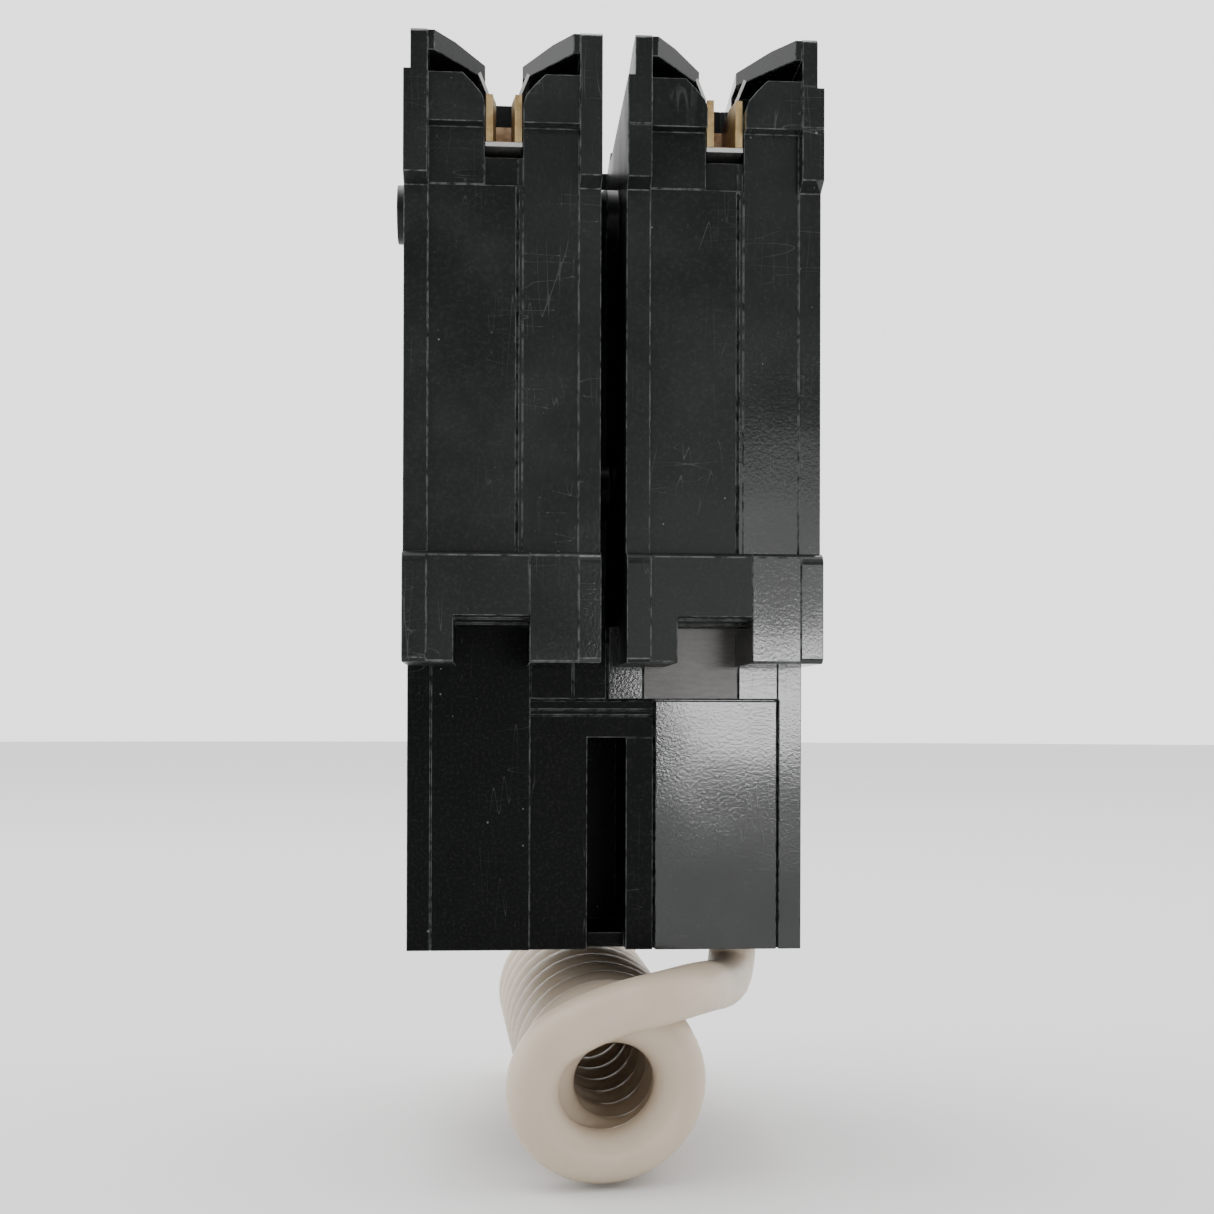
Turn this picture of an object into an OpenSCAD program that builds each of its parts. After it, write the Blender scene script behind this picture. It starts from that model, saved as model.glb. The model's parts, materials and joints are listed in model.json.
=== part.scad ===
// Two-pole plug-on ground-fault breaker, seen from its back at Y = 0.
// X runs across the poles, Y from the back to the handles, and Z up to the line end.
// X = 0 is the gap between the poles, and Z = 0 is the lower edge of the rail feet.

/* [Poles] */
// Distance between the two poles' centres
pole_pitch = 25.4; // [25.4:0.1:26]
// Width of a pole's case at the back
pole_w = 22.5; // [22:0.1:23]
// Height of the line end above the rail feet
line_end_z = 71.4; // [71:0.1:72]
// Height of a rail foot
foot_h = 12.6; // [12:0.1:13]
// How far the back lies in front of the feet
back_y = 2.1; // [1.8:0.1:2.6]
// Distance from the back to the front platform
front_y = 60; // [59:0.5:62]
// Distance from the back to the line-end shoulder
shoulder_y = 46; // [45.5:0.1:46.5]
// Thickness of the moulded walls
wall = 1.8; // [1.6:0.1:1.9]

/* [Stab slot] */
// Width of the slot that takes the panel's stab
slot_w = 4.4; // [4.2:0.1:4.6]
// Depth of the slot from the back
slot_depth = 18.4; // [18.2:0.1:18.6]
// Lower and upper ends of the jaw
jaw_z = [59.6, 65];

/* [Rail notch] */
// Height of the notch in each foot, at its mouth
notch_h = 5.3; // [5.1:0.1:5.5]
// Width of the notch in each foot
notch_w = 8.6; // [8:0.1:9]

/* [Module] */
// Width of the ground-fault module
module_w = 48; // [47.6:0.1:48.4]
// Distance from the feet's back plane to the module's back
module_back = 14.2; // [14:0.1:14.4]
// Height of the module's top above the feet's lower edge
module_top = 4.9; // [4.9:0.1:5]
// Height of the load end, below the feet
load_end_z = -34.4; // [-35:0.1:-34.4]

/* [Handle] */
// Swing of the handles from off to on, in degrees
handle_throw = 48; // [44:1:48]
// Distance from the pivot to a handle's tip
handle_reach = 28; // [26:0.5:30]

/* [Load terminals] */
// Radius of a lug's wire bore
lug_bore_r = 3.2; // [3:0.1:3.2]

/* [Pigtail] */
// Diameter of the neutral pigtail over its jacket
cable_d = 6.2; // [6:0.1:6.4]
// Radius of the coil at the middle of the cable
coil_r = 8.2; // [8.1:0.1:8.3]
// Turns in the coil
coil_turns = 10.7; // [10:0.1:10.8]
// Distance from turn to turn
coil_pitch = 6.5; // [6.4:0.05:6.6]

/* [Hidden] */
$fn = 48;

mould = "#26292a";
copper = "#b9855a";
steel = "#c8ccd0";
e = 0.01;
pole_x = pole_pitch / 2;
half_w = pole_w / 2;
left = -1;
right = 1;

// Lines along the back of a pole, measured from its centre
strip_l = -8.5;
strip_r = 8.7;
strip_step = 0.3;
slot_c = 0.1;
slot_l = slot_c - slot_w / 2;
slot_r = slot_c + slot_w / 2;
seam_u = 1.7;
foot_seam_u = 3.15;
notch_l = -5.45;
back_top = 54.3;
ear_z = 55.2;
step_z = 54.6;
recess_y = 3.3;
block_z = [61.15, 66.7];
block_y = 0.6;
end_wall_z = 69.1;
pocket_y = 13;
front_joint_y = 36;
boss_1 = [17, 55.2];
boss_2 = [32, 23.5];
rivet_3 = [40, 61];
rivet_r = 1.6;
trip_at = [52, 12];

// Handle and contact arm. The arm hangs on the handle's leg, leg_r from the pivot.
handle_at = [48, 33];
off_tilt = -handle_throw / 2;
barrel_r = 13;
leg_r = 7;
arm_turn = 34.1;
arm_off = [for (k = [0, 1]) handle_at[k] - leg_r * [cos(off_tilt), sin(off_tilt)][k]];
arm_on = [for (k = [0, 1]) handle_at[k] - leg_r * [cos(off_tilt), -sin(off_tilt)][k]];
contact_z = 42;
cradle_at = [27, 41];
armature_at = [44, 13.6];

// Module
module_x = module_w / 2;
module_front_z = -18;
load_shoulder_y = 47;
rear_slot = [-2.2, 2.5];
rear_slot_y = 31;
rear_slot_top = -8.6;
split_top_x = 0.2;
split_x = 5.95;
split_z = -3.9;
solenoid_x = -16;
plunger_z = -3;
button_at = [6, -6];
lug_xs = [-17.5, 9.3, -8.6];
lug_y = 36.5;
lug_z = [-32.4, -22];
screw_z = -27.5;

// Pigtail: the lead's points down from its bushing to the coil's first turn
exit_at = [18.4, 34];
coil_start = [-0.8, 3.2, -49.2];
coil_tilt = [-0.7, 69.5, 1.3];
lead_points = [
    [18.4, 34, -31], [18.4, 34, -34.4], [18.3, 33.7, -37.5], [17.5, 31.2, -39.9],
    [15.8, 25, -40.2], [13, 16, -39.1], [10, 8.6, -38.4], [6.3, 3.9, -38.5],
    [3.1, 3, -39.1], [0, 3, -40], [-3.6, 3, -41.5]
];

// ---- shapes shared by many parts ----

module block(x, y, z) {
    translate([x[0], y[0], z[0]]) cube([x[1] - x[0], y[1] - y[0], z[1] - z[0]]);
}

module cyl_x(x, at, r) {
    translate([x[0], at[0], at[1]]) rotate([0, 90, 0]) cylinder(h = x[1] - x[0], r = r);
}

module cyl_y(y, at, r) {
    translate([at[0], y[0], at[1]]) rotate([-90, 0, 0]) cylinder(h = y[1] - y[0], r = r);
}

module cyl_z(z, at, r) {
    translate([at[0], at[1], z[0]]) cylinder(h = z[1] - z[0], r = r);
}

// An outline drawn in Y and Z, made solid along X
module along_x(x) {
    translate([x[0], 0, 0]) rotate([90, 0, 90]) linear_extrude(x[1] - x[0]) children();
}

// An outline drawn in X and Z, made solid along Y
module along_y(y) {
    translate([0, y[1], 0]) rotate([90, 0, 0]) linear_extrude(y[1] - y[0]) children();
}

module in_pole(side) {
    translate([side * pole_x, 0, 0]) children();
}

// Points of an arc, in degrees
function arc(c, r, a, b, n) =
    [for (i = [0:n]) c + r * [cos(a + (b - a) * i / n), sin(a + (b - a) * i / n)]];

function unit(v) = v / norm(v);
function spline(a, b, c, d, t) =
    0.5 * (2 * b + (c - a) * t + (2 * a - 5 * b + 4 * c - d) * t * t
    + (3 * b - a - 3 * c + d) * t * t * t);
function at_end(p, i) = p[max(0, min(len(p) - 1, i))];
// A smooth curve through the points, with n steps between each two
function smooth(p, n) = [
    for (i = [0:len(p) - 2], k = [0:n - 1])
        spline(at_end(p, i - 1), p[i], p[i + 1], at_end(p, i + 2), k / n),
    p[len(p) - 1]
];
function tangent(p, i) = unit(at_end(p, i + 1) - at_end(p, i - 1));
function across(v, t) = unit(v - (v * t) * t);
// Normals carried along the curve without twist
function normals(p, v, i = 0) =
    i >= len(p) ? [] : let (n = across(v, tangent(p, i))) concat([n], normals(p, n, i + 1));

// A tube along points p, with its first ring's normal near v
module tube(p, r, sides, v) {
    n = normals(p, v);
    m = len(p);
    rings = [
        for (i = [0:m - 1], k = [0:sides - 1])
            let (t = tangent(p, i), a = 360 * k / sides)
                p[i] + r * (cos(a) * n[i] + sin(a) * cross(t, n[i]))
    ];
    walls = [
        for (i = [0:m - 2], k = [0:sides - 1])
            let (j = (k + 1) % sides)
                [i * sides + k, (i + 1) * sides + k, (i + 1) * sides + j, i * sides + j]
    ];
    polyhedron(rings, concat(
        [[for (k = [0:sides - 1]) k]],
        walls,
        [[for (k = [0:sides - 1]) m * sides - 1 - k]]), convexity = 8);
}

// Points of a spring from a to b
function helix(a, b, r, turns, n = 10) =
    let (d = unit(b - a), u = across([1, 0, 0.01], d), w = cross(d, u))
        [for (i = [0:turns * n]) a + (b - a) * i / (turns * n)
            + r * (cos(360 * i / n) * u + sin(360 * i / n) * w)];

// ---- pole cases ----

module pole_outline() {
    polygon(concat(
        [[0.5, 0], [module_back, 0], [module_back, module_top], [front_y - 0.6, module_top],
         [front_y, module_top + 0.6], [front_y, 55.2], [front_y - 0.8, 56], [shoulder_y + 1.2, 57.6],
         [shoulder_y, 58.8], [shoulder_y, 65.2], [shoulder_y - 0.7, 65.9], [4, line_end_z],
         [0.4, line_end_z], [0, line_end_z - 0.4], [0, ear_z], [back_y, back_top], [back_y, foot_h]],
        arc([1.3, foot_h - 1.3], 1.3, 90, 180, 6),
        [[0, 0.5]]));
}

module pole_cavity() {
    polygon([
        [4.2, 8], [4.2, 52.2], [20.2, 52.2], [20.2, 66.6], [shoulder_y - wall, 63.6],
        [shoulder_y - wall, 56], [front_y - wall, 54], [front_y - wall, module_top + wall],
        [5.5, module_top + wall]
    ]);
}

// The V-shaped back edge of the end wall, seen along Z
module end_wall_cut() {
    polygon([
        [strip_l, -1], [strip_l, block_y], [-7.75, block_y], [slot_l, 9], [slot_l, slot_depth],
        [slot_r, slot_depth], [slot_r, 9], [7.95, block_y], [strip_r, block_y], [strip_r, -1]
    ]);
}

module slot_and_pocket() {
    block([strip_l, strip_r], [-1, strip_step], [-1, foot_h]);
    block([strip_l, strip_r], [-1, back_y + strip_step], [foot_h - e, block_z[0]]);
    block([strip_l, strip_r], [-1, block_y], [block_z[0] - e, end_wall_z]);
    block([strip_l, strip_r], [-1, pocket_y], [block_z[1], end_wall_z]);
    translate([0, 0, end_wall_z - e]) linear_extrude(line_end_z - end_wall_z + 1) end_wall_cut();
    block([slot_l, slot_r], [-1, slot_depth], [58, line_end_z + 1]);
    block([slot_l, slot_r], [-1, recess_y], [step_z, 58 + e]);
    // Step in the strip below the slot
    block([strip_l, slot_r], [-1, back_y + strip_step + 0.12], [foot_h, step_z]);
    for (s = [-1, 1])
        along_y([-1, pocket_y])
            polygon([for (p = [[2, 63.3], [2.25, 63.5], [2.5, 64.3], [3.5, 65.5], [5, 67], [2, 67]])
                [slot_c + s * p[0], p[1]]]);
    // The rail notch gets lower in two steps
    block([notch_l, notch_l + notch_w], [-1, 3.6], [-1, notch_h]);
    block([notch_l, notch_l + notch_w], [-1, 8.6], [-1, notch_h - 0.3]);
    block([notch_l, notch_l + notch_w], [-1, module_back + e], [-1, notch_h - 0.6]);
}

module pole_solid(side) {
    difference() {
        union() {
            along_x([-half_w, half_w]) pole_outline();
            intersection() {
                along_x([-pole_x, pole_x]) pole_outline();
                block([-20, 20], [front_joint_y, 70], [0, 80]);
            }
            cyl_x([-pole_x, pole_x], boss_1, 3.5);
            cyl_x([-pole_x, pole_x], boss_2, 3.5);
        }
        difference() {
            along_x([-half_w + wall, half_w - wall]) pole_cavity();
            for (p = [boss_1, boss_2, rivet_3]) cyl_x([-half_w, half_w], p, 2.8);
            for (s = [-1, 1]) cyl_x([s * 8.7 - 1, s * 8.7 + 1], handle_at, 3.2);
        }
        slot_and_pocket();
        // Set-in edges of the ears
        block([-half_w - 1, -half_w + 0.8], [-1, 30], [66.8, 80]);
        if (side == right) {
            block([half_w - 0.8, half_w + 1], [-1, 30], [65.8, 80]);
            block([-half_w - 1, half_w + 1], [-1, 0.14], [block_z[0] - 0.06, block_z[0] + 0.06]);
        }
        for (p = [boss_1, boss_2, rivet_3]) cyl_x([-20, 20], p, rivet_r + 0.02);
        cyl_x([-half_w + wall, half_w - wall], handle_at, 1.52);
        cyl_x(side == left ? [0, 20] : [-20, 0], trip_at, 2.4);
        // Handle window, strap window and the openings in the floor
        block([-4.6, 4.6], [front_y - 3, front_y + 1], [handle_at[1] - 8.8, handle_at[1] + 8.8]);
        block([slot_l + 0.1, slot_r - 0.1], [slot_depth - 1, 21], [59.8, 61.4]);
        block([-3, 3], [16, 22.5], [module_top - 1, module_top + wall + 1]);
        if (side == left)
            block([-4.7, -1.9], [49.5, 57.5], [module_top - 1, module_top + wall + 1]);
    }
}

module base_side() {
    block([-20, foot_seam_u], [-5, 80], [-5, foot_h]);
    block([-20, seam_u], [-5, 80], [foot_h, 90]);
}

module pole_base(side) {
    in_pole(side) color(mould) difference() {
        intersection() {
            pole_solid(side);
            base_side();
        }
        block([seam_u - 0.16, seam_u + 1], [-1, back_y + strip_step + 0.6], [foot_h, back_top]);
    }
}

module pole_cover(side) {
    in_pole(side) color(mould) {
        difference() {
            pole_solid(side);
            base_side();
            block([seam_u - 1, seam_u + 0.12], [-1, back_y + strip_step + 0.6], [foot_h, back_top]);
        }
        cyl_x([6.3, half_w - wall], cradle_at, 2.8);
        cyl_x([4.2, 6.4], cradle_at, 1.5);
    }
}

module case_rivets() {
    color(steel) for (s = [left, right], p = [boss_1, boss_2, rivet_3])
        in_pole(s) cyl_x(p == rivet_3 ? [-pole_x + 0.4, pole_x - 0.4] : [-pole_x + 0.3, pole_x - 0.3], p, rivet_r);
}

// ---- line side ----

// Outer edge of one jaw leg, from its flared mouth to the web, and the leg's thickness
jaw_line = [[2.05, 2.6], [2.05, 3.2], [1.7, 5.6], [1.7, 11.2], [2, 12.6]];
jaw_t = 0.8;
jaw_web_z = 62.9;

module jaw_leg(s) {
    polygon(concat(
        [for (p = jaw_line) [slot_c + s * p[0], p[1]]],
        [for (i = [4:-1:0]) [slot_c + s * (jaw_line[i][0] - jaw_t), jaw_line[i][1]]]));
}

module stab_jaw(side) {
    in_pole(side) color(copper) {
        translate([0, 0, jaw_z[0]]) linear_extrude(jaw_z[1] - jaw_z[0]) {
            jaw_leg(-1);
            jaw_leg(1);
        }
        // Web between the legs, with a round-cornered cut-out at its top
        difference() {
            block([slot_c - 1.65, slot_c + 1.65], [12.5, 13.4], jaw_z);
            block([slot_c - 1.1, slot_c + 1.1], [12, 14], [jaw_web_z + 0.5, jaw_z[1] + 1]);
            block([slot_c - 0.6, slot_c + 0.6], [12, 14], [jaw_web_z, jaw_z[1]]);
            for (s = [-1, 1]) cyl_y([12, 14], [slot_c + s * 0.6, jaw_web_z + 0.5], 0.5);
        }
        // Lower plate that joins the legs near the slot's mouth
        block([slot_c - 1.3, slot_c + 1.3], [5, 12.6], [jaw_z[0], jaw_z[0] + 0.8]);
    }
}

module jaw_spring(side) {
    in_pole(side) color(steel) {
        block([slot_c - 2.1, slot_c + 2.1], [2.5, 12.4], [59, 59.5]);
        along_y([6, 11]) for (s = [-1, 1])
            polygon([for (p = [[1.75, 59.4], [2.05, 59.4], [2.05, 66.3], [3, 68.6], [2.7, 68.8], [1.75, 66.4]])
                [slot_c + s * p[0], p[1]]]);
    }
}

module line_strap(side) {
    in_pole(side) color(copper) along_x([slot_c - 1.9, slot_c + 1.9])
        polygon([
            [13.4, 60], [21, 60], [21, 39.5], [22.2, 39.5], [22.2, 61.2], [14.6, 61.2], [14.6, 65],
            [13.4, 65]
        ]);
}

module fixed_contact(side) {
    in_pole(side) color("#d9d5cc") cyl_y([22.2, 23.6], [slot_c, contact_z], 2.2);
}

module arc_chute(side) {
    in_pole(side) color("#8d9094") difference() {
        translate([0, 41.6, 33]) union() {
            for (a = [112, 116.5, 121, 125.5, 130]) rotate([a, 0, 0])
                block([-6.8, 6.8], [18.7, 28.4], [-0.45, 0.45]);
            for (s = [-1, 1]) along_x([s * 7 - 0.4, s * 7 + 0.4])
                polygon(concat(arc([0, 0], 28.6, 110, 132, 6), arc([0, 0], 18.5, 132, 110, 6)));
        }
        translate([0, 41.6, 33]) rotate([121, 0, 0]) along_x([-3.2, 3.2])
            polygon([[15, -12], [24.8, -12], [26.4, 0], [24.8, 12], [15, 12]]);
    }
}

// ---- handles and contact arms ----

module handle_pins() {
    color(steel) for (s = [left, right])
        in_pole(s) cyl_x([-half_w + wall, half_w - wall], handle_at, 1.5);
}

// One handle in its own frame: pivot at the origin and lever along +Y
module handle_shape() {
    difference() {
        union() {
            along_x([-4.2, 4.2]) polygon(concat(
                arc([0, 0], barrel_r, -67, 67, 16), arc([0, 0], barrel_r - 1.7, 67, -67, 16)));
            for (s = [-1, 1]) along_x([s * 3.2 - 0.8, s * 3.2 + 0.8]) polygon(concat(
                arc([0, 0], barrel_r - 1.5, -67, 67, 16), [[0, 3], [-leg_r, 2.6]],
                arc([-leg_r, 0], 2.6, 90, 270, 8), [[0, -3]]));
            cyl_x([-4, 4], [0, 0], 3.5);
            along_x([-3.8, 3.8]) polygon([
                [barrel_r - 1, -3.4], [barrel_r + 4, -2.5], [handle_reach - 0.8, -1.9], [handle_reach, -1.2],
                [handle_reach, 1.2], [handle_reach - 0.8, 1.9], [barrel_r + 4, 2.5], [barrel_r - 1, 3.4]
            ]);
            cyl_x([-3.6, 3.6], [-leg_r, 0], 1.2);
        }
        cyl_x([-5, 5], [0, 0], 1.55);
    }
}

module at_handle() {
    translate([0, handle_at[0], handle_at[1]]) rotate([off_tilt, 0, 0]) children();
}

module handle(side) {
    in_pole(side) color("#1b1d1e") at_handle() handle_shape();
}

module handle_tie() {
    color("#1b1d1e") at_handle() along_x([-pole_x + 3.8, pole_x - 3.8])
        polygon([[20.5, -1.9], [27, -1.5], [27.5, -1], [27.5, 1], [27, 1.5], [20.5, 1.9]]);
}

// Places what is drawn for the closed arm, measured from the arm's pivot, at the open arm
module at_open_arm(side) {
    in_pole(side) translate([0, arm_off[0], arm_off[1]]) rotate([-arm_turn, 0, 0])
        translate([0, -arm_on[0], -arm_on[1]]) children();
}

module contact_arm(side) {
    color(copper) at_open_arm(side) difference() {
        union() {
            cyl_x([-1.25, 1.25], arm_on, 2.9);
            along_x([-1.25, 1.25]) polygon([
                [arm_on[0] - 1, arm_on[1] - 2.6], [arm_on[0] + 1.6, arm_on[1] + 2.3], [34.8, 37.6],
                [28.4, 44.5], [25.15, 44.5], [25.15, 39.5], [27, 39.5], [32, 35.2]
            ]);
        }
        cyl_x([-2, 2], arm_on, 1.25);
    }
}

module moving_contact(side) {
    color("#d9d5cc") at_open_arm(side) cyl_y([23.66, 25.15], [slot_c, contact_z], 2.2);
}

module toggle_spring(side) {
    in_pole(side) color(steel)
        tube(helix([0, 34.4, 43.2], [0, 28.7, 33], 1.6, 6, 12), 0.35, 8, [1, 0, 0]);
}

module cradle(side) {
    in_pole(side) color(steel) difference() {
        union() {
            along_x([4.5, 6]) {
                translate(cradle_at) circle(r = 3);
                polygon([[24.4, 39.5], [29.6, 39.5], [29, 28], [26.6, 18], [26.4, 14.35], [23.6, 14.35], [23.8, 28]]);
            }
            cyl_x([-2.2, 4.6], [28, 31], 0.8);
        }
        cyl_x([4, 7], cradle_at, 1.55);
    }
}

// ---- trip unit ----

module bimetal(side) {
    in_pole(side) color("#b7a07a") block([-3, 3], [16, 49.4], [9.6, 10.6]);
}

module magnet_yoke(side) {
    in_pole(side) color("#9a9da0") difference() {
        union() {
            block([-6.4, 6.4], [26, 47], [7.2, 8.4]);
            for (s = [-1, 1]) {
                block([s * 5.8 - 0.6, s * 5.8 + 0.6], [30, 47], [7.2, 12.4]);
                block([s * 5.8 - 0.6, s * 5.8 + 0.6], [42.2, 45.8], [12, 15.4]);
            }
        }
        cyl_x([-7, 7], armature_at, 0.95);
    }
}

module armature(side) {
    in_pole(side) color("#9a9da0") {
        block([-4.9, 4.9], [22.5, 46], [13, 14.2]);
        block([4.8, 6.6], [22.5, 28.5], [13, 14.2]);
        cyl_x([-6.2, 6.2], armature_at, 0.9);
    }
}

module trip_bar() {
    color("#2e3133") {
        cyl_x([-pole_x - 8.8, pole_x + 8.8], trip_at, 1.8);
        for (s = [left, right]) in_pole(s)
            along_x([-3, 3]) polygon([[48.6, 14.6], [52, 12.6], [52, 13.8], [48.6, 15.4]]);
        along_x([solenoid_x - 1, solenoid_x + 1])
            polygon([[51, -4.6], [53, -4.6], [53.2, 12], [50.8, 12]]);
    }
}

module braid(side) {
    in_pole(side) color(copper)
        tube(smooth([[0, 48, 10.6], [0, 47.3, 15], [0, 45.3, 20], [0, 42.2, 25], [0, 40.8, 29], [0, 41, 32.95]], 3),
            1, 8, [1, 0, 0]);
}

// A lead from the bimetal through the current transformer to its lug
module load_lead(side) {
    top = side * pole_x;
    window = side == left ? -3.4 : 1.4;
    lug = lug_xs[side == left ? 0 : 1];
    color("#2c2c30") {
        tube(smooth([
            [top, 18.2, 0.8], [top, 21.5, 0.9], [0.6 * top + 0.4 * window, 27, 1.1],
            [0.12 * top + 0.88 * window, 32.8, 1], [window, 35.4, -1.6], [window, 35.6, -5],
            [window, 35.6, -9.5], [(window + lug) / 2, 36, -14.5], [lug, 36.5, -18.5],
            [lug, 36.5, lug_z[1]]], 4), 1.3, 8, [0, 0, 1]);
        block([top - 2.5, top + 2.5], [17.2, 18.4], [-1, 9.6]);
    }
}

// ---- ground-fault module ----

module module_outline() {
    polygon([
        [module_back, load_end_z], [load_shoulder_y - 0.6, load_end_z], [load_shoulder_y, load_end_z + 0.6],
        [load_shoulder_y, module_front_z - 1.4], [load_shoulder_y + 1.4, module_front_z],
        [front_y - 0.6, module_front_z], [front_y, module_front_z + 0.6], [front_y, module_top],
        [module_back, module_top]
    ]);
}

module module_cavity() {
    m = module_back + wall + 0.4;
    polygon([
        [m, load_end_z + wall], [load_shoulder_y - wall, load_end_z + wall],
        [load_shoulder_y - wall, module_front_z + wall], [front_y - wall, module_front_z + wall],
        [front_y - wall, module_top - wall], [m, module_top - wall]
    ]);
}

// A panel of the back, sunk by d, over x and z
module panel(x, z, d) {
    block(x, [module_back - 1, module_back + d], z);
}

module module_back_cuts() {
    low = load_end_z - 1;
    panel([-9.1, -4.05], [split_z, module_top + 1], 0.25);
    panel([-3.9, 0.04], [split_z, module_top + 1], 0.15);
    panel([-9.2, -9.1], [low, module_top + 1], 0.5);
    panel([-4.05, -3.9], [split_z, module_top + 1], 0.5);
    panel([0.04, 0.36], [split_z, module_top + 1], 1.2);
    panel([4.5, 4.62], [split_z, module_top + 1], 0.4);
    panel([16.15, 16.35], [split_z, module_top + 1], 0.5);
    panel([16.3, 21.1], [split_z, module_top + 1], 0.35);
    panel([-9.1, 21.1], [-4.15, split_z], 1.1);
    panel([-9.1, 5.8], [rear_slot_top, -4.1], 0.5);
    for (z = [-5.3, -6]) panel([-9.1, 5.8], [z, z + 0.15], 0.8);
    panel([-9.1, rear_slot[0]], [low, rear_slot_top], 0.5);
    panel([rear_slot[1], 5.8], [low, rear_slot_top], 0.2);
    panel([5.8, 6.1], [low, -4], 1.2);
    panel([20.95, 21.25], [low, -4], 1.2);
    panel([-21.2, -21.1], [low, module_top + 1], 0.3);
    // The deep slot with its web near the load end
    block(rear_slot, [module_back - 1, rear_slot_y], [-32.6, rear_slot_top]);
    block(rear_slot, [module_back - 1, module_back + 2.8], [low, rear_slot_top]);
}

module module_solid() {
    difference() {
        union() {
            difference() {
                along_x([-module_x, module_x]) module_outline();
                along_x([-module_x + wall, module_x - wall]) module_cavity();
            }
            // Walls round the deep slot, the solenoid's seat and the screw shelf
            block([rear_slot[0] - 1.4, rear_slot[1] + 1.4], [module_back + 1, rear_slot_y + 1.4],
                [load_end_z + 1, rear_slot_top + 1.4]);
        }
        module_back_cuts();
        cyl_z([load_end_z - 1, load_end_z + wall + 1], exit_at, 4.65);
        for (x = lug_xs) {
            cyl_z([load_end_z - 1, load_end_z + wall + 1], [x, lug_y], lug_bore_r + 0.2);
            cyl_y([load_shoulder_y - wall - 1, load_shoulder_y + 1], [x, screw_z], 3.3);
        }
        for (s = [left, right])
            block([s * pole_x - 3, s * pole_x + 3], [16, 22.5], [module_top - wall - 1, module_top + 1]);
        block([solenoid_x - 1.4, solenoid_x + 1.4], [49.5, 57.5], [module_top - wall - 1, module_top + 1]);
        cyl_y([front_y - wall - 1, front_y + 1], button_at, 3.5);
    }
}

module module_left_side() {
    block([-40, split_top_x], [0, 80], [split_z, 20]);
    block([-40, split_x], [0, 80], [-60, split_z]);
}

module module_base() {
    color(mould) intersection() {
        module_solid();
        module_left_side();
    }
}

module module_cover() {
    color(mould) difference() {
        module_solid();
        module_left_side();
    }
}

module current_transformer() {
    color("#5d6f45") translate([-1, 36.5, 0]) rotate_extrude()
        polygon(concat(arc([6, -2.3], 0.9, 180, 90, 4), arc([8.5, -2.3], 0.9, 90, 0, 4),
            arc([8.5, -6.2], 0.9, 0, -90, 4), arc([6, -6.2], 0.9, -90, -180, 4)));
}

module circuit_board() {
    color("#2f6b4a") {
        block([-12, 21], [48, 49.6], [-15.5, 1.5]);
        block([-10, -4], [49.6, 51], [-10, -6]);
        block([11, 17], [49.6, 52.4], [-14, -8]);
        block([10, 19], [49.6, 51.2], [-4.5, -0.5]);
        cyl_y([49.6, 54.5], [-7.5, -2], 2.4);
        cyl_y([49.6, 55], [-1.5, -12], 2);
    }
}

module solenoid() {
    color("#9c5a3c") difference() {
        union() {
            cyl_y([32, 44.2], [solenoid_x, plunger_z], 4.3);
            block([solenoid_x - 4.9, solenoid_x + 4.9], [30.8, 32], [plunger_z - 4.9, plunger_z + 4.9]);
            block([solenoid_x - 4.9, solenoid_x + 4.9], [44.2, 45.4], [plunger_z - 4.9, plunger_z + 4.9]);
            block([solenoid_x - 4.9, solenoid_x + 4.9], [30.8, 45.4], [plunger_z - 4.9, plunger_z - 4.35]);
        }
        cyl_y([30, 46], [solenoid_x, plunger_z], 1.6);
    }
}

module plunger() {
    color(steel) {
        cyl_y([27.2, 50.6], [solenoid_x, plunger_z], 1.5);
        cyl_y([26, 27.3], [solenoid_x, plunger_z], 2.6);
    }
}

module test_button() {
    color("#c9b43a") {
        cyl_y([57, front_y + 1.9], button_at, 3.4);
        cyl_y([front_y + 1.85, front_y + 2.2], button_at, 3.1);
        cyl_y([56.4, front_y - wall - 0.05], button_at, 4.4);
        cyl_y([52, 56.5], button_at, 1.5);
    }
}

module test_spring() {
    b = [button_at[0], 0, button_at[1]];
    color(steel) tube(helix(b + [0, 50.6, 0], b + [0, 56, 0], 2.5, 4), 0.35, 6, [1, 0, 0]);
}

module test_contact() {
    color(copper) {
        block([button_at[0] - 1.2, button_at[0] + 1.2], [49.6, 50], [button_at[1] - 6, button_at[1] + 1.5]);
        cyl_y([50 - e, 50.15], button_at, 1);
    }
}

module lug(x) {
    color("#b9bcc0") difference() {
        block([x - 3.8, x + 3.8], [31.8, 42.2], lug_z);
        cyl_z([lug_z[0] - 1, lug_z[1] - 1.4], [x, lug_y], lug_bore_r);
        cyl_y([lug_y, 43], [x, screw_z], 2);
    }
}

module lug_screw(x) {
    color(steel) difference() {
        union() {
            cyl_y([39.9, 43.3], [x, screw_z], 1.95);
            cyl_y([43.2, 45], [x, screw_z], 2.9);
        }
        block([x - 0.5, x + 0.5], [44, 46], [screw_z - 4, screw_z + 4]);
    }
}

module load_lug_a() { lug(lug_xs[0]); }
module load_lug_b() { lug(lug_xs[1]); }
module neutral_lug() { lug(lug_xs[2]); }

// The neutral conductor, from its lug through the transformer to the pigtail's end
module neutral_lead() {
    color("#d8d8d4") tube(smooth([
        [lug_xs[2], lug_y, lug_z[1]], [lug_xs[2], 37.5, -18], [-4.6, 38.8, -12.5], [-1, 39.3, -8.5],
        [-1, 39.3, -1.5], [1.4, 40.6, 1.1], [7, 42.5, 0.8], [13, 42.5, -2], [17.6, 40, -9],
        [18.4, 36.4, -18], [18.4, 34, -25], [18.4, 34, -31]], 4), 1.3, 8, [0, 1, 0]);
}

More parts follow.
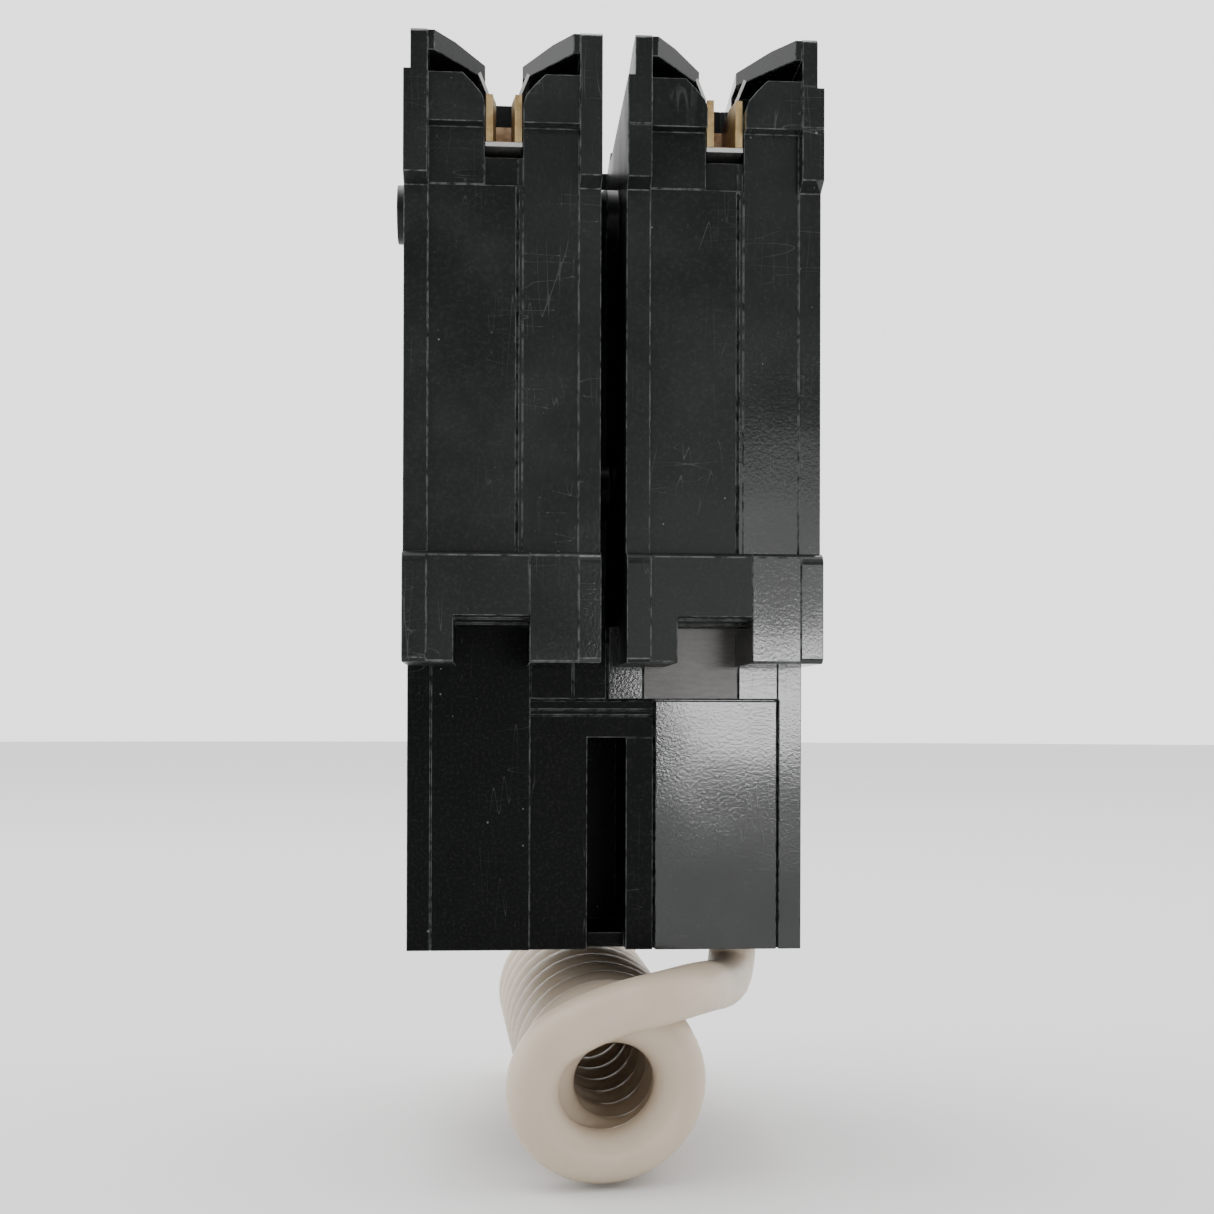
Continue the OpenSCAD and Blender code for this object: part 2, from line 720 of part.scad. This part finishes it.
module front_label() {
    color("#d7d8d6") block([-20, -3], [front_y, front_y + 0.25], [-16, 0]);
}

// ---- neutral pigtail ----

module pigtail_bushing() {
    color("#1b1d1e") difference() {
        union() {
            cyl_z([load_end_z - 1.6, load_end_z + wall + 1.4], exit_at, 4.6);
            cyl_z([load_end_z - 1.6, load_end_z - 0.02], exit_at, 5.2);
            cyl_z([load_end_z + wall + 0.02, load_end_z + wall + 1.4], exit_at, 5.2);
        }
        // Flat beside the module's side wall
        block([module_x - wall - 0.05, module_x + 1], [20, 45], [load_end_z + wall, load_end_z + 5]);
        cyl_z([load_end_z - 3, load_end_z + wall + 3], exit_at, cable_d / 2 + 0.05);
    }
}

module pigtail_lead() {
    color("#e9e2d6") tube(smooth(lead_points, 3), cable_d / 2, 12, [1, 0, 0]);
}

// Axis of the coil, from the middle of its first turn
module on_coil_axis() {
    d = unit(coil_tilt);
    translate(coil_start) rotate([0, acos(d[2]), atan2(d[1], d[0])]) children();
}

module pigtail_coil() {
    length = coil_turns * coil_pitch;
    color("#e9e2d6") on_coil_axis() rotate_extrude() polygon([
        [coil_r - cable_d / 2, -1.5], [coil_r - 1.5, -cable_d / 2], [coil_r + 1.5, -cable_d / 2],
        [coil_r + cable_d / 2, -1.5], [coil_r + cable_d / 2, length + 1.5],
        [coil_r + 1.5, length + cable_d / 2], [coil_r - 1.5, length + cable_d / 2],
        [coil_r - cable_d / 2, length + 1.5]
    ]);
}

// Stripped copper at the cable's far end, straight on from the last turn
module pigtail_bare_end() {
    y = coil_start[1] + coil_turns * coil_pitch;
    color("#8a5a3a") cyl_z([-47.5, -37.4], [6.7, y], 1.9);
}

pole_base(left);  // pole_base_a
pole_cover(left);  // pole_cover_a
pole_base(right);  // pole_base_b
pole_cover(right);  // pole_cover_b
stab_jaw(left);  // stab_jaw_a
stab_jaw(right);  // stab_jaw_b
jaw_spring(left);  // jaw_spring_a
jaw_spring(right);  // jaw_spring_b
line_strap(left);  // line_strap_a
line_strap(right);  // line_strap_b
fixed_contact(left);  // fixed_contact_a
fixed_contact(right);  // fixed_contact_b
arc_chute(left);  // arc_chute_a
arc_chute(right);  // arc_chute_b
bimetal(left);  // bimetal_a
bimetal(right);  // bimetal_b
magnet_yoke(left);  // magnet_yoke_a
magnet_yoke(right);  // magnet_yoke_b
braid(left);  // braid_a
braid(right);  // braid_b
load_lead(left);  // load_lead_a
load_lead(right);  // load_lead_b
handle_pins();
case_rivets();
handle(left);  // handle_a
handle(right);  // handle_b
handle_tie();
contact_arm(left);  // contact_arm_a
contact_arm(right);  // contact_arm_b
moving_contact(left);  // moving_contact_a
moving_contact(right);  // moving_contact_b
toggle_spring(left);  // toggle_spring_a
toggle_spring(right);  // toggle_spring_b
cradle(left);  // cradle_a
cradle(right);  // cradle_b
armature(left);  // armature_a
armature(right);  // armature_b
trip_bar();
module_base();
module_cover();
current_transformer();
circuit_board();
solenoid();
plunger();
test_button();
test_spring();
test_contact();
load_lug_a();
load_lug_b();
neutral_lug();
lug_screw(lug_xs[0]);  // lug_screw_a
lug_screw(lug_xs[1]);  // lug_screw_b
lug_screw(lug_xs[2]);  // lug_screw_n
neutral_lead();
front_label();
pigtail_bushing();
pigtail_lead();
pigtail_coil();
pigtail_bare_end();
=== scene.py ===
import json
import math

import bmesh
import bpy
from mathutils import Matrix, Vector


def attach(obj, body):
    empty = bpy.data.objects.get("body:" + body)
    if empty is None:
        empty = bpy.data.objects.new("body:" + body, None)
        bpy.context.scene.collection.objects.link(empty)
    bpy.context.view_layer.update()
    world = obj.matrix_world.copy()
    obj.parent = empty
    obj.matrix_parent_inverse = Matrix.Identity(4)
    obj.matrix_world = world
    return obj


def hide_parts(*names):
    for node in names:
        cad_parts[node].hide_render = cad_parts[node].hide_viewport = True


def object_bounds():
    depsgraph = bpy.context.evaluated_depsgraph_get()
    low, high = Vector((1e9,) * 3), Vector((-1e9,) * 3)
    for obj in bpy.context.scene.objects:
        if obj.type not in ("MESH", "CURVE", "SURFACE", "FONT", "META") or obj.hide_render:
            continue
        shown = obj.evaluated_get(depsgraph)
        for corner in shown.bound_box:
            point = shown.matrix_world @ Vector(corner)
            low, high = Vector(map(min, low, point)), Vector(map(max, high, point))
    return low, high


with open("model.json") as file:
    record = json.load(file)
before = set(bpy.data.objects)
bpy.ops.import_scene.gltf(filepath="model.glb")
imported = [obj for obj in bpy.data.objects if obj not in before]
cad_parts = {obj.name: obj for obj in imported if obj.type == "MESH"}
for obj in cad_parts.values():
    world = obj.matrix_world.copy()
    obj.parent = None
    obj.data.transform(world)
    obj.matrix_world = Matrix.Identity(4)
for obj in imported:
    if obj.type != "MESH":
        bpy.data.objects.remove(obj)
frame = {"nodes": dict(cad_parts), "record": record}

# Lengths are written in millimetres and turned into metres by mm().
cad_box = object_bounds()
nodes = frame["nodes"]
scene = bpy.context.scene


def mm(*v):
    return Vector(v) / 1000 if len(v) > 1 else v[0] / 1000


def new_object(name, data):
    obj = bpy.data.objects.new(name, data)
    scene.collection.objects.link(obj)
    return obj


# ---------------------------------------------------------------- camera

CAMERA_AT = mm(-13.47, -189.63, -6.5)
YAW, PITCH, ROLL = (math.radians(a) for a in (3.95, 0.22, 0.16))
LENS = 49.85
SHIFT = (-0.003, 0.088)


def make_camera():
    """Level, from behind, a little left of the middle."""
    forward = Vector((math.sin(YAW) * math.cos(PITCH), math.cos(YAW) * math.cos(PITCH), math.sin(PITCH)))
    right = Vector((math.cos(YAW), -math.sin(YAW), 0))
    up = right.cross(forward)
    right, up = (math.cos(ROLL) * right + math.sin(ROLL) * up,
                 math.cos(ROLL) * up - math.sin(ROLL) * right)
    data = bpy.data.cameras.new("camera")
    data.sensor_width = 36
    data.lens = LENS
    data.shift_x, data.shift_y = SHIFT
    data.clip_start = 0.005
    data.clip_end = 20
    cam = new_object("camera", data)
    turn = Matrix((right, up, -forward)).transposed().to_4x4()
    cam.matrix_world = Matrix.Translation(CAMERA_AT) @ turn
    scene.camera = cam


make_camera()

# ---------------------------------------------------------------- neutral pigtail

# The same route as the CAD's: a lead from the bushing, then a coil.
CABLE_D = 6.2
COIL_R = 8.2
COIL_TURNS = 10.7
COIL_PITCH = 6.5
COIL_START = Vector((-0.8, 3.2, -49.2))
COIL_AXIS = Vector((-0.7, 69.5, 1.3)).normalized()
LEAD_POINTS = [
    (18.4, 34, -31), (18.4, 34, -34.4), (18.3, 33.7, -37.5), (17.5, 31.2, -39.9),
    (15.8, 25, -40.2), (13, 16, -39.1), (10, 8.6, -38.4), (6.3, 3.9, -38.5),
    (3.1, 3, -39.1), (0, 3, -40), (-3.6, 3, -41.5),
]
TURN_POINTS = 40
FIRST_ANGLE = 110
# The turns after the first sit a little right of it and are a little tighter
TURN_SHIFT = Vector((2.1, 0, -0.5))
TURN_SHRINK = 0.2


def catmull(points, steps):
    """A smooth curve through the points, with that many steps between each two."""
    p = [Vector(q) for q in points]
    out = []
    for i in range(len(p) - 1):
        a, b, c, d = p[max(i - 1, 0)], p[i], p[i + 1], p[min(i + 2, len(p) - 1)]
        for k in range(steps):
            t = k / steps
            out.append(0.5 * (2 * b + (c - a) * t + (2 * a - 5 * b + 4 * c - d) * t * t
                              + (3 * b - a - 3 * c + d) * t ** 3))
    return out + [p[-1]]


def coil_point(turn):
    """A point on the coil's centreline, counted in turns from its start."""
    a = math.radians(FIRST_ANGLE + 360 * turn)
    side = Vector((1, 0, 0)) - COIL_AXIS * COIL_AXIS.x
    side.normalize()
    up = side.cross(COIL_AXIS)
    late = min(max((turn - 0.35) / 0.6, 0), 1)
    late *= late * (3 - 2 * late) * (1 - turn / COIL_TURNS)
    return (COIL_START + COIL_AXIS * (COIL_PITCH * turn) + TURN_SHIFT * late
            + (COIL_R - TURN_SHRINK * late) * (math.cos(a) * side + math.sin(a) * up))


def pigtail_line():
    """The lead, then the coil. Two of the coil's own points lead the curve into its first turn."""
    first, steps = 0.08, 6
    line = catmull(LEAD_POINTS + [coil_point(first), coil_point(2 * first)], steps)[:-steps]
    count = round(COIL_TURNS * TURN_POINTS)
    turns = [COIL_TURNS * i / count for i in range(1, count + 1)]
    return line + [coil_point(t) for t in turns if t > first + 0.01]


def make_curve(name, points, radius, sides):
    """A round cable along the points, with closed ends."""
    data = bpy.data.curves.new(name, "CURVE")
    data.dimensions = "3D"
    spline = data.splines.new("POLY")
    spline.points.add(len(points) - 1)
    for sp, p in zip(spline.points, points):
        sp.co = (*mm(*p), 1)
        sp.radius = mm(radius)
    spline.use_smooth = True
    data.bevel_depth = 1
    data.bevel_resolution = sides
    data.use_fill_caps = True
    data.twist_mode = "MINIMUM"
    return new_object(name, data)


pigtail_points = pigtail_line()
pigtail = make_curve("pigtail_cable", pigtail_points, CABLE_D / 2, 10)
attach(pigtail, "case")
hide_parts("pigtail_lead", "pigtail_coil")

# ---------------------------------------------------------------- floor and light

def make_floor():
    """A round card just below the model's lowest point."""
    low = cad_box[0].z - mm(0.3)
    bm = bmesh.new()
    bmesh.ops.create_circle(bm, cap_ends=True, segments=96, radius=4)
    for v in bm.verts:
        v.co.z = low
        v.co.y += mm(30)
    mesh = bpy.data.meshes.new("floor")
    bm.to_mesh(mesh)
    bm.free()
    obj = new_object("floor", mesh)
    return obj


def area_light(name, at, to, size, power):
    data = bpy.data.lights.new(name, "AREA")
    data.shape = "RECTANGLE"
    data.size, data.size_y = size
    data.energy = power
    obj = new_object(name, data)
    obj.location = at
    obj.rotation_mode = "QUATERNION"
    obj.rotation_quaternion = (Vector(to) - Vector(at)).to_track_quat("-Z", "Y")
    return obj


def make_world():
    """A studio that is dim behind the camera and bright beyond the object."""
    world = bpy.data.worlds.new("studio")
    scene.world = world
    world.use_nodes = True
    tree = world.node_tree
    back = tree.nodes["Background"]
    where = tree.nodes.new("ShaderNodeTexCoord")
    split = tree.nodes.new("ShaderNodeSeparateXYZ")
    shade = tree.nodes.new("ShaderNodeMapRange")
    shade.interpolation_type = "SMOOTHSTEP"
    for socket, value in zip(shade.inputs[1:5], (-0.95, 0.1, 0.45, 2.2)):
        socket.default_value = value
    tree.links.new(where.outputs["Generated"], split.inputs[0])
    tree.links.new(split.outputs["Y"], shade.inputs[0])
    tree.links.new(shade.outputs[0], back.inputs["Strength"])
    back.inputs["Color"].default_value = (1, 1, 1, 1)


floor = make_floor()
make_world()
# Three lights one above another, behind the camera and to its right, that shine straight ahead
for name, x, z, size, power in (
    ("key", 0.225, 0.006, (0.27, 0.053), 1.15),
    ("key_high", 0.225, 0.0975, (0.27, 0.125), 0.2),
    ("key_low", 0.2625, -0.1075, (0.195, 0.125), 0.2),
):
    area_light(name, (x, -0.85, z), (x, 0, z), size, power)
area_light("top", (-0.2, 0.15, 0.9), (0, 0.03, 0), (0.8, 0.8), 7)

# ---------------------------------------------------------------- materials

class Net:
    """A material's node tree, built one node a line."""

    def __init__(self, name):
        self.mat = bpy.data.materials.new(name)
        self.mat.use_nodes = True
        self.tree = self.mat.node_tree
        self.out = self.tree.nodes["Material Output"]
        self.bsdf = self.tree.nodes["Principled BSDF"]

    def put(self, socket, value):
        if isinstance(value, bpy.types.NodeSocket):
            self.tree.links.new(value, socket)
        elif value is not None:
            if hasattr(socket.default_value, "__len__") and not hasattr(value, "__len__"):
                value = (value,) * len(socket.default_value)
            if socket.type == "RGBA" and len(value) == 3:
                value = (*value, 1)
            socket.default_value = value

    def node(self, kind, out=0, props=None, **inputs):
        n = self.tree.nodes.new("ShaderNode" + kind)
        for k, v in (props or {}).items():
            setattr(n, k, v)
        for k, v in inputs.items():
            self.put(n.inputs[int(k[1:]) if k[0] == "i" and k[1:].isdigit() else k], v)
        return n.outputs[out]

    def math(self, op, a, b=None, c=None):
        n = self.tree.nodes.new("ShaderNodeMath")
        n.operation = op
        for s, v in zip(n.inputs, (a, b, c)):
            self.put(s, v)
        return n.outputs[0]

    def mix(self, f, a, b):
        n = self.tree.nodes.new("ShaderNodeMix")
        n.data_type = "RGBA"
        self.put(n.inputs["Factor"], f)
        self.put(n.inputs[6], a)
        self.put(n.inputs[7], b)
        return n.outputs[2]

    def ramp(self, v, low, high, to_low=0.0, to_high=1.0):
        """v from low..high to to_low..to_high, clamped and smooth."""
        return self.node("MapRange", 0, {"interpolation_type": "SMOOTHSTEP"}, Value=v,
                         i1=low, i2=high, i3=to_low, i4=to_high)

    def mm_coords(self):
        at = self.node("TexCoord", 3)
        n = self.tree.nodes.new("ShaderNodeVectorMath")
        n.operation = "SCALE"
        self.put(n.inputs[0], at)
        n.inputs["Scale"].default_value = 1000
        return n.outputs[0]

    def stretched(self, v, scale, turn=(0, 0, 0)):
        return self.node("Mapping", 0, None, Vector=v, Scale=scale,
                         Rotation=[math.radians(a) for a in turn])

    def noise(self, v, scale, detail=3.0, rough=0.5):
        return self.node("TexNoise", 0, None, Vector=v, Scale=scale, Detail=detail, Roughness=rough)

    def specks(self, v, scale, share, size):
        """Small round spots: one in a share of a Voronoi pattern's cells."""
        n = self.tree.nodes.new("ShaderNodeTexVoronoi")
        self.put(n.inputs["Vector"], v)
        n.inputs["Scale"].default_value = scale
        split = self.tree.nodes.new("ShaderNodeSeparateColor")
        self.tree.links.new(n.outputs["Color"], split.inputs[0])
        chosen = self.math("LESS_THAN", split.outputs[0], share)
        radius = self.math("MULTIPLY", split.outputs[1], size)
        spot = self.math("LESS_THAN", n.outputs["Distance"], radius)
        return self.math("MULTIPLY", chosen, spot)

    def scratches(self, v, scale, turn, thin, patchy):
        """Long thin lines: where a stretched noise crosses its middle."""
        n = self.noise(self.stretched(v, scale, turn), 1.0, 0.0)
        line = self.math("LESS_THAN", self.math("ABSOLUTE", self.math("SUBTRACT", n, 0.5)), thin)
        return self.math("MULTIPLY", line, self.ramp(self.noise(v, 0.11, 2.0), patchy, patchy + 0.12))

    def inside(self, v, *spans):
        """1 where x, y and z all lie in their spans."""
        n = self.tree.nodes.new("ShaderNodeSeparateXYZ")
        self.put(n.inputs[0], v)
        total = 1.0
        for axis, (low, high) in zip(n.outputs, spans):
            here = self.math("MULTIPLY", self.math("GREATER_THAN", axis, low),
                             self.math("LESS_THAN", axis, high))
            total = self.math("MULTIPLY", here, total)
        return total

    def bump(self, height, distance, normal=None):
        return self.node("Bump", 0, None, Strength=1.0, Distance=mm(distance), Height=height,
                         **({"Normal": normal} if normal else {}))

    def finish(self, **inputs):
        for k, v in inputs.items():
            self.put(self.bsdf.inputs[k.replace("_", " ")], v)
        return self.mat


def add(net, *values):
    total = values[0]
    for v in values[1:]:
        total = net.math("ADD", total, v)
    return total


def mould(name, dark=(0.0046, 0.0056, 0.0056), light=(0.0112, 0.0126, 0.0128), rough=0.30,
          worn=0.0, pad=False, shine=0.18, vary=0.08):
    """Black moulded plastic that has been handled: haze, specks, scratches and rubbed edges."""
    net = Net(name)
    v = net.mm_coords()
    haze = net.ramp(net.noise(v, 0.07, 4.0, 0.55), 0.35, 0.7)
    grain = net.noise(v, 2.6, 3.0, 0.6)
    dust = net.specks(v, 0.7, 0.10, 0.10)
    fine_dust = net.specks(v, 2.0, 0.12, 0.13)
    lines = net.math("MAXIMUM",
                     net.scratches(v, (0.8, 0.8, 0.05), (0, 10, 0), 0.0035, 0.47),
                     net.scratches(v, (0.1, 0.8, 0.7), (0, 33, 0), 0.0035, 0.5))
    colour = net.mix(haze, dark, light)
    colour = net.mix(net.math("MULTIPLY", net.ramp(grain, 0.45, 0.75), 0.16), colour, (0.05, 0.048, 0.043))
    colour = net.mix(net.math("MULTIPLY", lines, 0.22), colour, (0.12, 0.125, 0.12))
    colour = net.mix(net.math("MULTIPLY", dust, 0.45), colour, (0.26, 0.26, 0.24))
    colour = net.mix(net.math("MULTIPLY", fine_dust, 0.3), colour, (0.16, 0.16, 0.15))
    if worn:
        rub = net.ramp(net.noise(v, 0.9, 4.0, 0.65), 0.35, 0.62)
        colour = net.mix(net.math("MULTIPLY", rub, worn), colour, (0.17, 0.185, 0.18))
    roughness = add(net, rough, net.math("MULTIPLY", haze, vary), net.math("MULTIPLY", grain, vary))
    if pad:
        # A coarser, browner pad on the module's cover
        on = net.inside(v, (4.6, 16.1), (13.9, 15.0), (-3.9, 5.0))
        rubbed = net.ramp(net.noise(net.stretched(v, (0.5, 0.5, 2.5)), 1.0, 4.0, 0.7), 0.3, 0.75)
        colour = net.mix(net.math("MULTIPLY", on, net.math("ADD", net.math("MULTIPLY", rubbed, 0.6), 0.25)),
                         colour, (0.066, 0.058, 0.050))
        roughness = net.math("ADD", roughness, net.math("MULTIPLY", on, 0.2))
    wave = net.noise(v, 0.035, 2.0)
    normal = net.bump(wave, 0.25)
    normal = net.bump(grain, 0.010, normal)
    normal = net.bump(lines, -0.005, normal)
    return net.finish(Base_Color=colour, Roughness=roughness, Normal=normal, Specular_IOR_Level=shine)


def jacket(name):
    """Cream vinyl cable jacket."""
    net = Net(name)
    v = net.mm_coords()
    cloud = net.noise(v, 0.09, 3.0)
    soft = net.noise(v, 1.1, 3.0)
    colour = net.mix(net.ramp(cloud, 0.35, 0.65), (0.53, 0.435, 0.33), (0.575, 0.48, 0.37))
    colour = net.mix(net.math("MULTIPLY", net.specks(v, 1.1, 0.06, 0.12), 0.5), colour, (0.30, 0.25, 0.2))
    normal = net.bump(soft, 0.02)
    return net.finish(Base_Color=colour, Roughness=net.ramp(soft, 0.3, 0.7, 0.36, 0.5), Normal=normal,
                      Subsurface_Weight=0.15, Subsurface_Radius=(0.002, 0.0014, 0.001))


def metal(name, colour, tarnish, rough=0.35, scale=0.5):
    """Stamped or turned metal with tarnish in patches and fine drawn lines."""
    net = Net(name)
    v = net.mm_coords()
    patch = net.ramp(net.noise(v, scale, 4.0, 0.6), 0.3, 0.7)
    drawn = net.noise(net.stretched(v, (6, 0.4, 6)), 1.0, 3.0)
    c = net.mix(patch, colour, tarnish)
    r = add(net, rough, net.math("MULTIPLY", patch, 0.15), net.math("MULTIPLY", drawn, 0.12))
    return net.finish(Base_Color=c, Metallic=1.0, Roughness=r, Normal=net.bump(drawn, 0.006))


def jaw_metal_painted_shade(name):
    """A plated jaw: tan at its mouth, with painted shade that turns it dark red-brown far down in the slot.
    """
    net = Net(name)
    v = net.mm_coords()
    split = net.tree.nodes.new("ShaderNodeSeparateXYZ")
    net.put(split.inputs[0], v)
    # Painted shade: the colour turns dark red-brown from Y 4 mm to Y 9 mm, further into the slot
    painted_depth_shade = net.ramp(split.outputs[1], 4.0, 9.0)
    stain = net.ramp(net.noise(v, 0.9, 4.0, 0.6), 0.4, 0.7)
    tan = net.mix(net.math("MULTIPLY", stain, 0.6), (0.60, 0.44, 0.22), (0.34, 0.20, 0.08))
    drawn = net.noise(net.stretched(v, (6, 6, 0.4)), 1.0, 3.0)
    return net.finish(Base_Color=net.mix(painted_depth_shade, tan, (0.085, 0.028, 0.008)), Metallic=0.9,
                      Roughness=net.ramp(drawn, 0.3, 0.7, 0.28, 0.42), Normal=net.bump(drawn, 0.006))


def coated(name, colour, other, rough=0.4, scale=0.5, bump=0.02):
    """Paint, resin, card or rubber with slight mottling."""
    net = Net(name)
    v = net.mm_coords()
    a = net.noise(v, scale, 4.0)
    b = net.noise(v, scale * 8, 2.0)
    c = net.mix(net.ramp(a, 0.35, 0.65), colour, other)
    return net.finish(Base_Color=c, Roughness=net.ramp(b, 0.3, 0.7, rough - 0.06, rough + 0.08),
                      Normal=net.bump(b, bump))


def plain_floor():
    """Pale card, almost even."""
    net = Net("floor_card")
    v = net.mm_coords()
    n = net.noise(v, 0.05, 2.0)
    return net.finish(Base_Color=net.mix(n, (0.745, 0.745, 0.745), (0.76, 0.76, 0.76)), Roughness=0.9,
                      Specular_IOR_Level=0.1)


floor.data.materials.append(plain_floor())

MATERIALS = {
    "mould": mould("mould"),
    "handle_plastic": mould("handle_plastic", (0.008, 0.009, 0.009), (0.02, 0.021, 0.021), 0.3),
    "copper": metal("copper", (0.62, 0.42, 0.26), (0.30, 0.17, 0.09), 0.34),
    "spring_steel": metal("spring_steel", (0.74, 0.74, 0.73), (0.5, 0.49, 0.47), 0.28),
    "dull_steel": metal("dull_steel", (0.45, 0.45, 0.45), (0.30, 0.29, 0.28), 0.42),
    "silver_contact": metal("silver_contact", (0.78, 0.77, 0.73), (0.5, 0.48, 0.44), 0.3),
    "bimetal_strip": metal("bimetal_strip", (0.60, 0.52, 0.38), (0.42, 0.36, 0.28), 0.36),
    "braid_copper": metal("braid_copper", (0.6, 0.36, 0.22), (0.34, 0.19, 0.11), 0.4, scale=3.0),
    "lead_jacket": coated("lead_jacket", (0.03, 0.03, 0.035), (0.05, 0.05, 0.055), 0.35),
    "white_jacket": jacket("white_jacket"),
    "core_green": coated("core_green", (0.10, 0.15, 0.07), (0.14, 0.19, 0.09), 0.3),
    "board_green": coated("board_green", (0.015, 0.09, 0.04), (0.02, 0.13, 0.06), 0.35, 1.5),
    "coil_wire": metal("coil_wire", (0.45, 0.16, 0.07), (0.32, 0.10, 0.05), 0.3, scale=2.0),
    "lug_metal": metal("lug_metal", (0.66, 0.67, 0.68), (0.5, 0.5, 0.5), 0.32),
    "button_plastic": coated("button_plastic", (0.62, 0.44, 0.05), (0.68, 0.5, 0.07), 0.32),
    "label_white": coated("label_white", (0.74, 0.74, 0.71), (0.66, 0.66, 0.63), 0.45, 0.2, bump=0.004),
    "rubber_black": coated("rubber_black", (0.02, 0.02, 0.021), (0.035, 0.035, 0.036), 0.55, 1.0),
    "stranded_copper": metal("stranded_copper", (0.42, 0.22, 0.12), (0.2, 0.09, 0.045), 0.42, scale=1.2),
}
EDGE = mould("mould_edge", worn=0.45, rough=0.42)
GLOSSY = mould("mould_cover", rough=0.07, pad=True, shine=0.5, vary=0.03)
# The module base: a less glossy moulding, with its colour darker than the others as painted shade
MATT_PAINTED_SHADE = mould("mould_module_painted_shade", (0.0012, 0.0016, 0.0017), (0.003, 0.0036, 0.0038), rough=0.34, shine=0.06)

for part in frame["record"]["subparts"]:
    obj = nodes[part["node"]]
    obj.data.materials.clear()
    obj.data.materials.append(MATERIALS[part["material_slot"]])
pigtail.data.materials.append(MATERIALS["white_jacket"])
for n in ("pole_cover_a", "pole_cover_b", "module_cover"):
    nodes[n].data.materials[0] = GLOSSY
nodes["module_base"].data.materials[0] = MATT_PAINTED_SHADE
# The jaws' metal carries painted shade far down in the slot
JAW = jaw_metal_painted_shade("jaw_metal_painted_shade")
for n in ("stab_jaw_a", "stab_jaw_b"):
    nodes[n].data.materials[0] = JAW


# ---------------------------------------------------------------- rounded edges

def round_edges(name, width, edge_material):
    """Small rounded edges, with a material of their own."""
    obj = nodes[name]
    weld = obj.modifiers.new("weld", "WELD")
    weld.merge_threshold = 1e-6
    bevel = obj.modifiers.new("bevel", "BEVEL")
    bevel.width = mm(width)
    bevel.segments = 2
    bevel.limit_method = "ANGLE"
    bevel.angle_limit = math.radians(35)
    bevel.use_clamp_overlap = False
    bevel.loop_slide = False
    bevel.miter_outer = "MITER_SHARP"
    obj.data.materials.append(edge_material)
    bevel.material = 1


for n in ("pole_base_a", "pole_cover_a", "pole_base_b", "pole_cover_b", "module_base", "module_cover"):
    round_edges(n, 0.1, EDGE)
